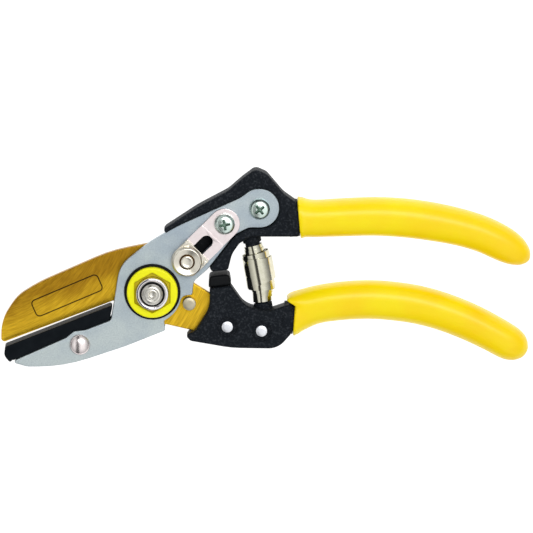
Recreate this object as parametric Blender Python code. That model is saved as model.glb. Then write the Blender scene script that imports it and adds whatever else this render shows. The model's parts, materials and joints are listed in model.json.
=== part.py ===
"""Anvil pruning shears, closed and locked, lying flat on the head of the pivot bolt and on both grips.

The plane of the tool is XY: +X runs from the pivot towards the grips, +Y from the lower handle to the
upper one. Z runs through the tool's thickness. The origin is on the pivot's axis, on the surface that
the tool lies on. Sizes are in millimetres, and MM turns them into metres.
"""

import math

import bmesh
import bpy
from mathutils import Matrix, Vector

MM = 0.001
ARC_STEP = math.radians(15)  # longest stretch of an arc that one straight side stands for
SIDES = 28  # sides of a turned piece

# Layers through the thickness, measured from the blade's middle plane at MID.
MID = 7.8
BLADE_HALF = 1.6
WASHER_NEAR, WASHER_FAR = 1.75, 2.2
PLATE_NEAR, PLATE_FAR = 2.35, 4.85
WEB_HALF = 2.15
ANVIL_HALF = 4.5
CASTING_HALF = 6.5
GAP = 0.3  # between touching pieces, in the plane of the tool
SEAT = 0.12  # between touching pieces, through the thickness

# Where the fasteners stand.
PIVOT = (0.0, 0.0)
STOP_PIN = (14.0, -4.9)
ANVIL_RIVET = (-27.5, -20.4)
GUIDE_SCREW = (27.4, 26.2)
HANDLE_SCREW = (40.7, 31.8)
HANDLE_RIVETS = {"handle_rivet_jaw_side": (28.4, -13.5), "handle_rivet_grip_side": (41.4, -15.1)}

# The catch slides away from the pivot along a line at 45 degrees, from the locked place.
CATCH = (13.2, 12.0)
CATCH_TRAVEL = 8.0
CATCH_ANGLE = math.radians(45)

RIVET_RECESS = 0.9
PIVOT_HOLE = 4.15
SHANK = 4.0
BUSHING_OUTER = 5.5
PIN_PATH_EDGE = 11.7  # radius of the plate's edge that the stop pin swings round

# Closed outlines in the plane of the tool. Each corner is (x, y, radius of its round).
BLADE_OUTLINE = [
    (-57.4, -20.6, 1.3),
    (-57.4, -11.6, 18.0),
    (-51.0, -2.0, 16.0),
    (-42.6, 3.1, 50.0),
    (-15.7, 15.06, 60.0),
    (1.2, 18.4, 1.2),
    (-0.6, 13.9, 0.6),
    (10.0, 14.6, 8.5),
    (14.7, 3.2, 3.0),
    (23.0, -2.0, 8.0),
    (31.0, -9.4, 8.0),
    (46.4, -10.2, 4.4),
    (45.6, -19.4, 4.4),
    (24.0, -17.6, 6.0),
    (5.2, -13.2, 0.8),
    (0.0, -14.9, 13.0),
    (-11.5, -12.2, 13.0),
    (-14.4, -4.1, 0.8),
]
CUTTING_EDGE = ((-57.4, -20.2), (-14.4, -4.05))
EDGE_LAND = 3.2  # width of the ground land along the cutting edge

ANVIL_OUTLINE = [
    (-55.8, -21.4, 0.6),
    (-56.4, -24.7, 3.0),
    (-54.0, -27.6, 0.8),
    (-53.1, -26.5, 0.3),
    (-50.0, -26.7, 3.0),
    (-34.0, -25.8, 12.0),
    (-22.5, -22.2, 3.0),
    (-19.5, -16.5, 3.0),
    (-16.2, -10.8, 2.4),
    (-14.95, -5.25, 0.8),
]

UPPER_CASTING_OUTLINE = [
    (21.4, 9.8, 0.9),
    (22.6, 7.8, 0.9),
    (28.7, 8.4, 1.2),
    (30.2, 14.6, 9.0),
    (33.0, 18.6, 1.8),
    (37.4, 21.2, 1.6),
    (55.6, 21.2, 0.8),
    (54.5, 34.4, 0.8),
    (50.0, 37.6, 9.0),
    (43.6, 45.2, 5.0),
    (38.9, 47.2, 3.2),
    (33.6, 43.2, 4.0),
    (28.6, 38.8, 12.0),
    (17.0, 32.6, 40.0),
    (4.0, 24.0, 1.2),
    (5.6, 21.9, 0.8),
    (8.8, 21.4, 1.5),
    (21.4, 24.6, 4.0),
    (25.4, 19.4, 5.0),
    (19.6, 11.6, 0.8),
]

LOWER_CASTING_OUTLINE = [
    (21.7, 1.3, 0.8),
    (21.8, -6.2, 10.0),
    (16.4, -15.0, 3.5),
    (12.2, -16.4, 1.2),
    (14.4, -18.9, 2.0),
    (30.0, -21.6, 40.0),
    (47.6, -21.9, 8.0),
    (52.4, -16.4, 0.8),
    (53.2, -4.3, 1.0),
    (44.0, -7.4, 9.0),
    (35.4, -5.6, 8.0),
    (29.9, 2.3, 0.8),
]
BUFFER_OUTLINE = [
    (21.3, 1.7, 0.4),
    (29.9, 2.7, 0.4),
    (29.2, 6.7, 1.4),
    (21.6, 5.9, 1.4),
]

# Grips: centre of the section, half its width, half its thickness, and the heading of the centre line.
UPPER_GRIP = [
    (55.5, 27.75, 7.75, 7.8, 5),
    (58.2, 27.5, 7.15, 7.8, -3),
    (62.5, 27.35, 6.95, 7.8, 0),
    (72.2, 27.75, 7.1, 7.8, 2),
    (84.0, 28.1, 7.2, 7.8, 0),
    (95.5, 27.5, 7.25, 7.8, -5),
    (106.8, 25.95, 7.15, 7.8, -10),
    (117.0, 23.8, 6.9, 7.7, -15),
    (125.5, 21.1, 6.75, 7.5, -22),
    (132.3, 17.8, 6.55, 7.1, -28),
    (136.8, 15.2, 5.8, 6.4, -32),
    (140.2, 13.0, 4.2, 4.8, -34),
    (142.2, 11.7, 2.0, 2.4, -34),
]
UPPER_GRIP_TIP = (142.8, 11.3)
LOWER_GRIP = [
    (53.65, -10.9, 6.75, 7.8, -4),
    (57.0, -7.8, 7.2, 7.8, 14),
    (63.0, -5.7, 7.05, 7.8, 9),
    (72.0, -4.4, 7.15, 7.8, 4),
    (82.0, -3.9, 7.2, 7.8, -1),
    (91.3, -4.5, 7.2, 7.8, -6),
    (100.8, -5.95, 7.15, 7.8, -12),
    (110.3, -8.6, 7.05, 7.8, -18),
    (119.9, -12.4, 6.95, 7.7, -24),
    (128.5, -16.7, 6.75, 7.5, -28),
    (135.0, -20.4, 6.5, 7.1, -30),
    (138.6, -22.4, 5.4, 5.9, -30),
    (141.0, -23.8, 3.0, 3.4, -30),
]
LOWER_GRIP_TIP = (141.9, -24.3)
GRIP_WALL = 1.6
GRIP_SIDES = 16
SQUARENESS = 2.5  # exponent of the sections' superellipse; 2 is an ellipse

# The volute spring stands between the bosses, on a line that leans 10 degrees.
SPRING_TOP = (37.95, 17.9)
SPRING_FOOT = (41.75, -4.6)
# Radius of the spring's outer face from each distance below its top end.
SPRING_STEPS = [(0.0, 3.7), (2.3, 4.7), (4.0, 5.75), (17.0, 4.9), (18.8, 4.1), (20.6, 3.6)]
SPRING_BORE = 3.15
BOSS_RADIUS = 3.5
STUD_RADIUS = 2.8
STUD_LENGTH = 2.5


def clear_scene():
    for leftover in list(bpy.data.objects):
        bpy.data.objects.remove(leftover, do_unlink=True)


def finish(name, colour, metallic, roughness):
    """A Principled material; colour is what a colour picker shows, and is turned into linear light."""
    linear = [value / 12.92 if value <= 0.04045 else ((value + 0.055) / 1.055) ** 2.4 for value in colour]
    made = bpy.data.materials.new(name)
    made.use_nodes = True
    shader = made.node_tree.nodes["Principled BSDF"]
    shader.inputs["Base Color"].default_value = (*linear, 1.0)
    shader.inputs["Metallic"].default_value = metallic
    shader.inputs["Roughness"].default_value = roughness
    return made


# ---------------------------------------------------------------- outlines


def rounded(corners):
    """Points of a closed outline whose corners are rounded by arcs."""
    points = []
    for index, (x, y, radius) in enumerate(corners):
        corner = Vector((x, y))
        back = (Vector(corners[index - 1][:2]) - corner).normalized()
        ahead = (Vector(corners[(index + 1) % len(corners)][:2]) - corner).normalized()
        half = back.angle(ahead) / 2
        centre = corner + (back + ahead).normalized() * (radius / math.sin(half))
        first = corner + back * (radius / math.tan(half)) - centre
        sweep = (math.pi - 2 * half) * math.copysign(1, ahead.cross(back))
        steps = max(1, math.ceil(abs(sweep) / ARC_STEP))
        for step in range(steps + 1):
            turn = Matrix.Rotation(sweep * step / steps, 2)
            points.append(centre + turn @ first)
    return points


def grown(points, distance):
    """The outline moved outwards by distance, or inwards where it is negative."""
    area = sum(points[i - 1].cross(point) for i, point in enumerate(points))
    outward = distance * math.copysign(1, area)
    moved = []
    for index, point in enumerate(points):
        back = (point - points[index - 1]).normalized()
        ahead = (points[(index + 1) % len(points)] - point).normalized()
        along = (back + ahead).normalized()
        reach = outward / max(0.3, along.dot(ahead))
        moved.append(point + Vector((along.y, -along.x)) * reach)
    return moved


def ring(centre, radius, sides=SIDES, start=0.0):
    """Points on a circle, or the corners of a regular polygon."""
    turns = [start + 2 * math.pi * side / sides for side in range(sides)]
    return [Vector((centre[0] + radius * math.cos(turn), centre[1] + radius * math.sin(turn))) for turn in turns]


def capsule(start, end, radius, steps=10):
    """Outline of a strip with round ends about two points."""
    run = Vector(end) - Vector(start)
    heading = math.atan2(run.y, run.x)
    points = []
    for centre, first in ((end, heading - math.pi / 2), (start, heading + math.pi / 2)):
        for step in range(steps + 1):
            turn = first + math.pi * step / steps
            points.append(Vector((centre[0] + radius * math.cos(turn), centre[1] + radius * math.sin(turn))))
    return points


def catch_place(travel):
    """Where the catch's pin stands after sliding by travel."""
    return (CATCH[0] + travel * math.cos(CATCH_ANGLE), CATCH[1] + travel * math.sin(CATCH_ANGLE))


# ---------------------------------------------------------------- solids


def add_object(name, mesh_data, look, origin=(0, 0, 0)):
    """Puts a bmesh, in millimetres about origin, into the scene as a smooth-shaded object."""
    bmesh.ops.remove_doubles(mesh_data, verts=mesh_data.verts, dist=1e-5)
    bmesh.ops.recalc_face_normals(mesh_data, faces=mesh_data.faces)
    bmesh.ops.scale(mesh_data, vec=(MM, MM, MM), verts=mesh_data.verts)
    mesh = bpy.data.meshes.new(name)
    mesh_data.to_mesh(mesh)
    mesh_data.free()
    mesh.shade_smooth()
    mesh.set_sharp_from_angle(angle=math.radians(32))
    made = bpy.data.objects.new(name, mesh)
    made.location = Vector(origin) * MM
    bpy.context.scene.collection.objects.link(made)
    if look is None:
        made.hide_render = True
        made.display_type = "WIRE"
    else:
        mesh.materials.append(look)
    return made


def prism(name, outline, low, high, look=None, chamfer=0.0):
    """An outline extruded from height low to high above the middle plane, with chamfered rims."""
    rims = [(low, 0.0), (high, 0.0)]
    if chamfer:
        rims = [(low, chamfer), (low + chamfer, 0.0), (high - chamfer, 0.0), (high, chamfer)]
    mesh_data = bmesh.new()
    levels = []
    for height, inset in rims:
        points = grown(outline, -inset) if inset else outline
        levels.append([mesh_data.verts.new((point.x, point.y, height)) for point in points])
    for below, above in zip(levels, levels[1:]):
        for index in range(len(outline)):
            after = (index + 1) % len(outline)
            mesh_data.faces.new((below[index], below[after], above[after], above[index]))
    mesh_data.faces.new(levels[0])
    mesh_data.faces.new(levels[-1])
    return add_object(name, mesh_data, look, (0, 0, MID))


def turned(name, section, centre, look=None, sides=SIDES):
    """A section of (radius, height above the middle plane) points turned about an upright axis."""
    mesh_data = bmesh.new()
    verts = [mesh_data.verts.new((radius, 0, height)) for radius, height in section]
    edges = [mesh_data.edges.new(pair) for pair in zip(verts, verts[1:])]
    if section[0][0] > 0:
        edges.append(mesh_data.edges.new((verts[-1], verts[0])))
    bmesh.ops.spin(
        mesh_data,
        geom=verts + edges,
        cent=(0, 0, 0),
        axis=(0, 0, 1),
        angle=2 * math.pi,
        steps=sides,
        use_merge=True,
    )
    return add_object(name, mesh_data, look, (*centre, MID))


def cylinder(name, centre, radius, low, high, look=None, sides=SIDES):
    return turned(name, [(0, low), (radius, low), (radius, high), (0, high)], centre, look, sides)


def leaning(made, top, foot):
    """Lays an upright turned piece along the line from foot, where its heights start, to top."""
    run = Vector((top[0] - foot[0], top[1] - foot[1], 0))
    made.rotation_mode = "QUATERNION"
    made.rotation_quaternion = run.to_track_quat("Z", "Y")
    made.location = Vector((foot[0], foot[1], MID)) * MM
    return made


def combine(target, tool, operation="DIFFERENCE"):
    """Cuts tool out of target, or joins it on, and keeps the tool out of the part."""
    step = target.modifiers.new(tool.name, "BOOLEAN")
    step.operation = operation
    step.solver = "EXACT"
    step.object = tool
    tool.hide_render = True
    tool.display_type = "WIRE"


def drill(target, centre, radius, low=-20.0, high=20.0):
    combine(target, cylinder(f"{target.name}_hole", centre, radius, low, high))


def counterbored(target, centre, radius, wide, faces):
    """A through hole that is wider outside the two face heights."""
    low, high = faces
    profile = [(0, -20), (wide, -20), (wide, low), (radius, low), (radius, high), (wide, high), (wide, 20), (0, 20)]
    combine(target, turned(f"{target.name}_stepped_hole", profile, centre))


def section(station, inset):
    """Corners of a grip's section, a superellipse across its heading."""
    x, y, width, thickness, heading = station
    across = Vector((-math.sin(math.radians(heading)), math.cos(math.radians(heading)), 0))
    corners = []
    for side in range(GRIP_SIDES):
        turn = 2 * math.pi * (side + 0.5) / GRIP_SIDES
        sideways = math.copysign(abs(math.cos(turn)) ** (2 / SQUARENESS), math.cos(turn)) * (width - inset)
        upwards = math.copysign(abs(math.sin(turn)) ** (2 / SQUARENESS), math.sin(turn)) * (thickness - inset)
        corners.append(Vector((x, y, 0)) + across * sideways + Vector((0, 0, upwards)))
    return corners


def skin(mesh_data, stations, inset, tip=None):
    """Lofts a tube through the stations and closes its far end; returns its first ring."""
    rings = [[mesh_data.verts.new(corner) for corner in section(station, inset)] for station in stations]
    for near, far in zip(rings, rings[1:]):
        for side in range(GRIP_SIDES):
            after = (side + 1) % GRIP_SIDES
            mesh_data.faces.new((near[side], near[after], far[after], far[side]))
    if tip is None:
        mesh_data.faces.new(rings[-1])
        return rings[0]
    point = mesh_data.verts.new((tip[0], tip[1], 0))
    for side in range(GRIP_SIDES):
        mesh_data.faces.new((rings[-1][side], rings[-1][(side + 1) % GRIP_SIDES], point))
    return rings[0]


def grip(name, stations, tip, look):
    """A dipped sleeve: an outer skin with a round end, and a blind cavity open at the casting's side."""
    mesh_data = bmesh.new()
    outer = skin(mesh_data, stations, 0.0, tip)
    inner = skin(mesh_data, stations[:-3], GRIP_WALL)
    for side in range(GRIP_SIDES):
        after = (side + 1) % GRIP_SIDES
        mesh_data.faces.new((outer[side], outer[after], inner[after], inner[side]))
    return add_object(name, mesh_data, look, (0, 0, MID))


def handle_core(name, stations):
    """The part of a casting that fills its grip, from inside the casting's head to near the tip."""
    mesh_data = bmesh.new()
    x, y, width, thickness, heading = stations[0]
    root = (x - 4.0, y, width, thickness, heading)
    last = stations[-5]
    stop = stations[-4]
    end = tuple(0.25 * a + 0.75 * b for a, b in zip(last, stop))
    first = skin(mesh_data, [root, *stations[:-4], end], GRIP_WALL + GAP)
    mesh_data.faces.new(first)
    return add_object(name, mesh_data, None, (0, 0, MID))


# ---------------------------------------------------------------- looks

PLATE_STEEL = finish("satin_plate_steel", (0.74, 0.78, 0.81), 0.9, 0.38)
GOLD_COAT = finish("gold_coated_steel", (0.78, 0.60, 0.17), 0.9, 0.32)
BLACK_CASTING = finish("black_painted_casting", (0.13, 0.14, 0.16), 0.0, 0.5)
ANVIL_BLACK = finish("black_anvil", (0.11, 0.12, 0.14), 0.0, 0.55)
BRIGHT_STEEL = finish("bright_rivet_steel", (0.85, 0.85, 0.84), 1.0, 0.25)
ZINC = finish("zinc_screws", (0.80, 0.85, 0.84), 1.0, 0.28)
NICKEL = finish("nickel", (0.86, 0.83, 0.80), 1.0, 0.22)
YELLOW_VINYL = finish("yellow_vinyl", (0.99, 0.86, 0.10), 0.0, 0.38)
YELLOW_PLASTIC = finish("yellow_plastic", (0.93, 0.93, 0.10), 0.0, 0.35)
BLACK_NYLON = finish("black_nylon", (0.07, 0.07, 0.08), 0.0, 0.45)
BLACK_RUBBER = finish("black_rubber", (0.10, 0.11, 0.12), 0.0, 0.7)
BRONZE = finish("bronze", (0.72, 0.55, 0.33), 1.0, 0.4)


# ---------------------------------------------------------------- upper half


def jaw_plate_outline(crown_drop=0.0):
    """The jaw plate: a beak under the anvil, a disc round the pivot and a lobe on the upper casting."""
    return rounded(
        [
            (-52.5, -27.5, 0.6),
            (-47.6, -28.95, 7.0),
            (-33.6, -28.9, 60.0),
            (-10.5, -21.2, 80.0),
            (4.9, -15.0, 0.9),
            (4.4, -11.2, 0.9),
            (9.5, -8.2, PIN_PATH_EDGE),
            (11.2, -1.6, 2.6),
            (15.1, -1.3, 0.9),
            (15.7, 4.0, 3.5),
            (21.2, 8.8, 14.0),
            (31.2, 21.8, 9.0),
            (36.5, 24.5, 4.0),
            (48.15, 24.5, 7.4),
            (48.15, 39.5, 7.4),
            (38.0, 39.5, 6.5),
            (33.0, 35.9, 5.0),
            (9.2, 25.1 - crown_drop, 60.0),
            (-1.0, 19.0 - crown_drop, 30.0),
            (-12.35, 9.95, 12.0),
            (-14.55, -4.2, 40.0),
            (-15.65, -11.1, 2.0),
            (-25.5, -14.9, 4.0),
            (-29.8, -15.4, 2.0),
            (-32.8, -17.9, 3.0),
            (-51.9, -26.4, 0.5),
        ]
    )


def jaw_plate(name, low, high, crown_drop):
    plate = prism(name, jaw_plate_outline(crown_drop), low, high, PLATE_STEEL, 0.25)
    drill(plate, PIVOT, PIVOT_HOLE)
    drill(plate, ANVIL_RIVET, 2.15)
    drill(plate, GUIDE_SCREW, 2.15)
    drill(plate, HANDLE_SCREW, 2.15)
    return plate


def jaw_plates():
    front = jaw_plate("front_jaw_plate", PLATE_NEAR, PLATE_FAR, 0.0)
    slot = capsule(catch_place(-0.4), catch_place(CATCH_TRAVEL + 2.4), 2.3)
    combine(front, prism("catch_slot", slot, -1, 20))
    jaw_plate("rear_jaw_plate", -PLATE_FAR, -PLATE_NEAR, 2.0)


def plate_clearance(name, low, high):
    return prism(name, grown(jaw_plate_outline(), GAP), low, high)


def anvil():
    block = prism("anvil", rounded(ANVIL_OUTLINE), -ANVIL_HALF, ANVIL_HALF, ANVIL_BLACK, 0.25)
    combine(block, plate_clearance("anvil_front_rebate", WEB_HALF, 20))
    combine(block, plate_clearance("anvil_rear_rebate", -20, -WEB_HALF))
    drill(block, ANVIL_RIVET, 2.15)


def dome(base, height, radius, steps=5):
    """Section points of a domed head from its rim, at base, to its crown."""
    turns = [math.pi / 2 * step / steps for step in range(steps + 1)]
    return [(radius * math.cos(turn), base + height * math.sin(turn)) for turn in turns[:-1]] + [(0, base + height)]


def anvil_rivet():
    face = PLATE_FAR + SEAT
    front = dome(face, 2.3, 4.0)
    rear = [(radius, -height) for radius, height in reversed(dome(face, 2.0, 4.0))]
    turned("anvil_rivet", [*rear, (2.0, -face), (2.0, face), *front], ANVIL_RIVET, BRIGHT_STEEL)


def spring_seat(name, depth):
    """A boss that the spring's end rests on, with a stud that reaches into the spring."""
    profile = [(0, -depth), (BOSS_RADIUS, -depth), (BOSS_RADIUS, -GAP), (STUD_RADIUS, -GAP)]
    profile += [(STUD_RADIUS, STUD_LENGTH), (0, STUD_LENGTH)]
    return turned(name, profile, PIVOT, sides=20)


def upper_casting():
    outline = rounded(UPPER_CASTING_OUTLINE)
    body = prism("upper_handle_casting", outline, -CASTING_HALF, CASTING_HALF, BLACK_CASTING, 0.7)
    combine(body, plate_clearance("upper_front_pocket", WEB_HALF, 20))
    combine(body, plate_clearance("upper_rear_pocket", -20, -WEB_HALF))
    combine(body, handle_core("upper_core", UPPER_GRIP), "UNION")
    combine(body, leaning(spring_seat("upper_spring_seat", 5.0), SPRING_FOOT, SPRING_TOP), "UNION")
    drill(body, GUIDE_SCREW, 2.15)
    drill(body, HANDLE_SCREW, 2.15)


def pivot():
    head_face = -PLATE_FAR - SEAT
    end = PLATE_FAR + 7.8
    bolt = [(0, -MID), (7.2, -MID), (8.0, -MID + 0.8), (8.0, head_face), (SHANK, head_face)]
    bolt += [(SHANK, end - 0.7), (3.3, end), (1.5, end), (0, end - 0.6)]
    turned("pivot_bolt", bolt, PIVOT, BRIGHT_STEEL)

    washer = PLATE_FAR + SEAT
    ring_low = washer + 0.6 + SEAT
    collar = PLATE_FAR + 6.2
    turned("ring_washer", tube(PIVOT_HOLE, 10.7, washer, washer + 0.6), PIVOT, BLACK_NYLON)

    bore = 4.15
    hexagon = ring(PIVOT, 13.0 / math.sqrt(3), 6, math.pi / 2)
    nut = prism("pivot_nut", hexagon, ring_low, collar, BRIGHT_STEEL)
    shoulder = [(0, ring_low - 1), (9, ring_low - 1), (9, ring_low + 1.0), (6.35, ring_low + 2.4)]
    shoulder += [(6.1, ring_low + 2.6), (6.1, collar - 0.7), (5.5, collar), (0, collar)]
    combine(nut, turned("nut_shoulder", shoulder, PIVOT), "INTERSECT")
    counterbored(nut, PIVOT, bore, 5.0, (-19.0, collar - 2.2))
    turned("nut_insert", tube(bore, 4.85, collar - 2.0, collar - 0.2), PIVOT, BLACK_NYLON)

    lock = turned(
        "nut_locking_ring",
        tube(5.5, 9.65, ring_low, PLATE_FAR + 3.3, 0.5),
        PIVOT,
        YELLOW_PLASTIC,
        sides=36,
    )
    combine(lock, prism("ring_recess", ring(PIVOT, 13.5 / math.sqrt(3), 6, math.pi / 2), 0, 20))

    for name, low in (("front_friction_washer", WASHER_NEAR), ("rear_friction_washer", -WASHER_FAR)):
        turned(name, tube(PIVOT_HOLE, 10.0, low, low + WASHER_FAR - WASHER_NEAR), PIVOT, BRONZE)


def tube(bore, outer, low, high, chamfer=0.0):
    """Section of a ring or sleeve, with a chamfer on the outer edge of its upper face."""
    if not chamfer:
        return [(bore, low), (outer, low), (outer, high), (bore, high)]
    return [(bore, low), (outer, low), (outer, high - chamfer), (outer - chamfer, high), (bore, high)]


def cross_recess(centre, lean):
    """Corners of a cross-head recess."""
    arm, half = 2.1, 0.55
    corner = [Vector((half, half)), Vector((half, arm)), Vector((-half, arm))]
    points = []
    for quarter in range(4):
        turn = Matrix.Rotation(lean + math.pi / 2 * quarter, 2)
        points += [Vector(centre) + turn @ point for point in corner]
    return points


def pan_screw(name, centre, seat, lean):
    """A pan-head screw that ends in a thin hexagon nut behind the rear plate."""
    shank = 2.0
    end = -PLATE_FAR - SEAT - 2.0
    profile = [(0, end), (shank, end), (shank, seat), (3.9, seat), (3.9, seat + 0.9), (3.5, seat + 1.8)]
    profile += [(2.6, seat + 2.35), (0, seat + 2.55)]
    screw = turned(name, profile, centre, ZINC)
    combine(screw, prism(f"{name}_recess", cross_recess(centre, lean), seat + 1.1, seat + 4))
    low = -PLATE_FAR - SEAT - 2.2
    nut = prism(f"{name}_nut", ring(centre, 7.0 / math.sqrt(3), 6), low, low + 2.2, ZINC, 0.2)
    drill(nut, centre, 2.15)


def catch_guide():
    low = PLATE_FAR + SEAT
    outline = capsule(CATCH, GUIDE_SCREW, 5.8, 12)
    guide = prism("catch_guide_plate", outline, low, low + 1.0, NICKEL, 0.2)
    drill(guide, GUIDE_SCREW, 2.15)
    slot = capsule(catch_place(-0.4), catch_place(CATCH_TRAVEL + 2.4), 2.35)
    combine(guide, prism("guide_slot", slot, -1, 20))
    return low + 1.0


def volute_spring():
    """The spring's outer steps, as one turned shell with a through bore for the studs."""
    length = (Vector(SPRING_TOP) - Vector(SPRING_FOOT)).length
    profile = [(SPRING_BORE, 0.0)]
    for (start, radius), (stop, _) in zip(SPRING_STEPS, SPRING_STEPS[1:] + [(length, 0)]):
        profile += [(radius, start), (radius, stop)]
    profile.append((SPRING_BORE, length))
    spring = turned("volute_spring", profile, PIVOT, NICKEL, sides=24)
    leaning(spring, SPRING_FOOT, SPRING_TOP)


def upper_half():
    jaw_plates()
    anvil()
    anvil_rivet()
    upper_casting()
    pivot()
    guide_top = catch_guide()
    pan_screw("guide_screw", GUIDE_SCREW, guide_top + SEAT, math.radians(10))
    pan_screw("handle_screw", HANDLE_SCREW, PLATE_FAR + SEAT, math.radians(38))
    volute_spring()
    grip("upper_grip", UPPER_GRIP, UPPER_GRIP_TIP, YELLOW_VINYL)


# ---------------------------------------------------------------- lower half


def grinding_wedge(side):
    """A bar that grinds one face of the blade down to the cutting edge."""
    start, end = (Vector(point) for point in CUTTING_EDGE)
    along = (end - start).normalized()
    inward = Vector((-along.y, along.x))
    length = (end - start).length
    tip = 0.15
    profile = [(-6.0, tip), (0.0, tip), (EDGE_LAND, BLADE_HALF), (EDGE_LAND + 3, 6.0), (-6.0, 6.0)]
    mesh_data = bmesh.new()
    ends = []
    for run in (-6.0, length + 0.5):
        points = [start + along * run + inward * depth for depth, _ in profile]
        ends.append([mesh_data.verts.new((p.x, p.y, side * h)) for p, (_, h) in zip(points, profile)])
    for index in range(len(profile)):
        after = (index + 1) % len(profile)
        mesh_data.faces.new((ends[0][index], ends[0][after], ends[1][after], ends[1][index]))
    mesh_data.faces.new(ends[0])
    mesh_data.faces.new(ends[1])
    return add_object(f"grinding_{side}", mesh_data, None, (0, 0, MID))


def blade():
    steel = prism("blade", rounded(BLADE_OUTLINE), -BLADE_HALF, BLADE_HALF, GOLD_COAT)
    for side in (1, -1):
        combine(steel, grinding_wedge(side))
    drill(steel, PIVOT, BUSHING_OUTER + 0.1)
    drill(steel, STOP_PIN, 2.15)
    for centre in HANDLE_RIVETS.values():
        drill(steel, centre, 2.15)
    notch = (CATCH[0] - 1.1, CATCH[1] - 1.1)
    drill(steel, notch, 2.9)


def stop_pin():
    high = PLATE_FAR - 0.15
    profile = [(0, -high), (2.45, -high), (2.45, -BLADE_HALF - SEAT), (2.0, -BLADE_HALF - SEAT)]
    profile += [(2.0, BLADE_HALF + SEAT), (2.45, BLADE_HALF + SEAT), (2.45, high - 0.25), (2.2, high), (0, high)]
    turned("stop_pin", profile, STOP_PIN, BRIGHT_STEEL, sides=20)


def lower_casting():
    outline = rounded(LOWER_CASTING_OUTLINE)
    body = prism("lower_handle_casting", outline, -CASTING_HALF, CASTING_HALF, BLACK_CASTING, 0.7)
    combine(body, handle_core("lower_core", LOWER_GRIP), "UNION")
    combine(body, leaning(spring_seat("lower_spring_seat", 4.5), SPRING_TOP, SPRING_FOOT), "UNION")
    tang_slot = grown(rounded(BLADE_OUTLINE), 0.25)
    combine(body, prism("tang_slot", tang_slot, -BLADE_HALF - SEAT, BLADE_HALF + SEAT))
    for centre in HANDLE_RIVETS.values():
        counterbored(body, centre, 2.3, 4.0, (RIVET_RECESS - CASTING_HALF, CASTING_HALF - RIVET_RECESS))
    post = [(23.2, 0.0, 0.5), (28.0, 0.0, 0.5), (27.6, 4.2, 0.5), (23.4, 3.8, 0.5)]
    combine(body, prism("buffer_post", rounded(post), -3.6, 3.6), "UNION")


def handle_rivets():
    high = CASTING_HALF - 0.5
    for name, centre in HANDLE_RIVETS.items():
        profile = [(0, -high), (1.9, -high), (2.15, 0.25 - high), (2.15, -BLADE_HALF - 0.6), (2.0, -BLADE_HALF - 0.45)]
        profile += [(radius, -height) for radius, height in reversed(profile)]
        turned(name, profile, centre, BRIGHT_STEEL, sides=20)


def stop_buffer():
    cap = prism("stop_buffer", rounded(BUFFER_OUTLINE), -5.9, 5.9, BLACK_RUBBER, 0.35)
    pocket = [(22.9, 0.0, 0.5), (28.3, 0.0, 0.5), (27.9, 4.5, 0.5), (23.1, 4.1, 0.5)]
    combine(cap, prism("buffer_pocket", rounded(pocket), -3.9, 3.9))


def lower_half():
    blade()
    turned("pivot_bushing", tube(4.05, BUSHING_OUTER, -BLADE_HALF + 0.05, BLADE_HALF - 0.05), PIVOT, BRONZE)
    stop_pin()
    lower_casting()
    handle_rivets()
    stop_buffer()
    grip("lower_grip", LOWER_GRIP, LOWER_GRIP_TIP, YELLOW_VINYL)


# ---------------------------------------------------------------- catch


def catch():
    """The thumb piece slides on the guide plate; its pin reaches down between the jaw plates."""
    low = PLATE_FAR + SEAT + 1.0 + SEAT
    foot_high = low + 0.7
    half = 5.9  # half of the foot's width
    foot = [(-half, -half, half - 0.2), (half, -half, 0.6), (half, half, 0.6), (-half, half, half - 0.2)]
    turn = Matrix.Rotation(CATCH_ANGLE, 2)
    placed = [(*(Vector(CATCH) + turn @ Vector((x, y))), radius) for x, y, radius in foot]
    piece = prism("catch_thumb_piece", rounded(placed), low, foot_high, NICKEL, 0.15)
    cup = [(0, low + 0.3), (5.6, low + 0.3), (5.75, foot_high + 1.9), (5.3, foot_high + 2.6)]
    cup += [(4.6, foot_high + 2.6), (3.9, foot_high + 1.7), (0, foot_high + 1.5)]
    combine(piece, turned("catch_cup", cup, CATCH), "UNION")
    drill(piece, CATCH, 2.2)

    head = foot_high + 1.7 + SEAT
    inner = PLATE_NEAR - SEAT
    flange_low = BLADE_HALF + SEAT
    profile = [(0, flange_low), (3.1, flange_low), (3.1, inner), (2.05, inner), (2.05, head)]
    profile += [(2.75, head), (2.75, head + 0.9), (2.3, head + 1.2), (0, head + 0.9)]
    turned("catch_rivet", profile, CATCH, NICKEL)


clear_scene()
upper_half()
lower_half()
catch()
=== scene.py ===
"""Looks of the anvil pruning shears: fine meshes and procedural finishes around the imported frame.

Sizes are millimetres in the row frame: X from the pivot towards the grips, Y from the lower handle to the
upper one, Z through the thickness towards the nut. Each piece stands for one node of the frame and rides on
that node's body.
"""

import json
import math

import bmesh
import bpy
from mathutils import Matrix, Vector

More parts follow.
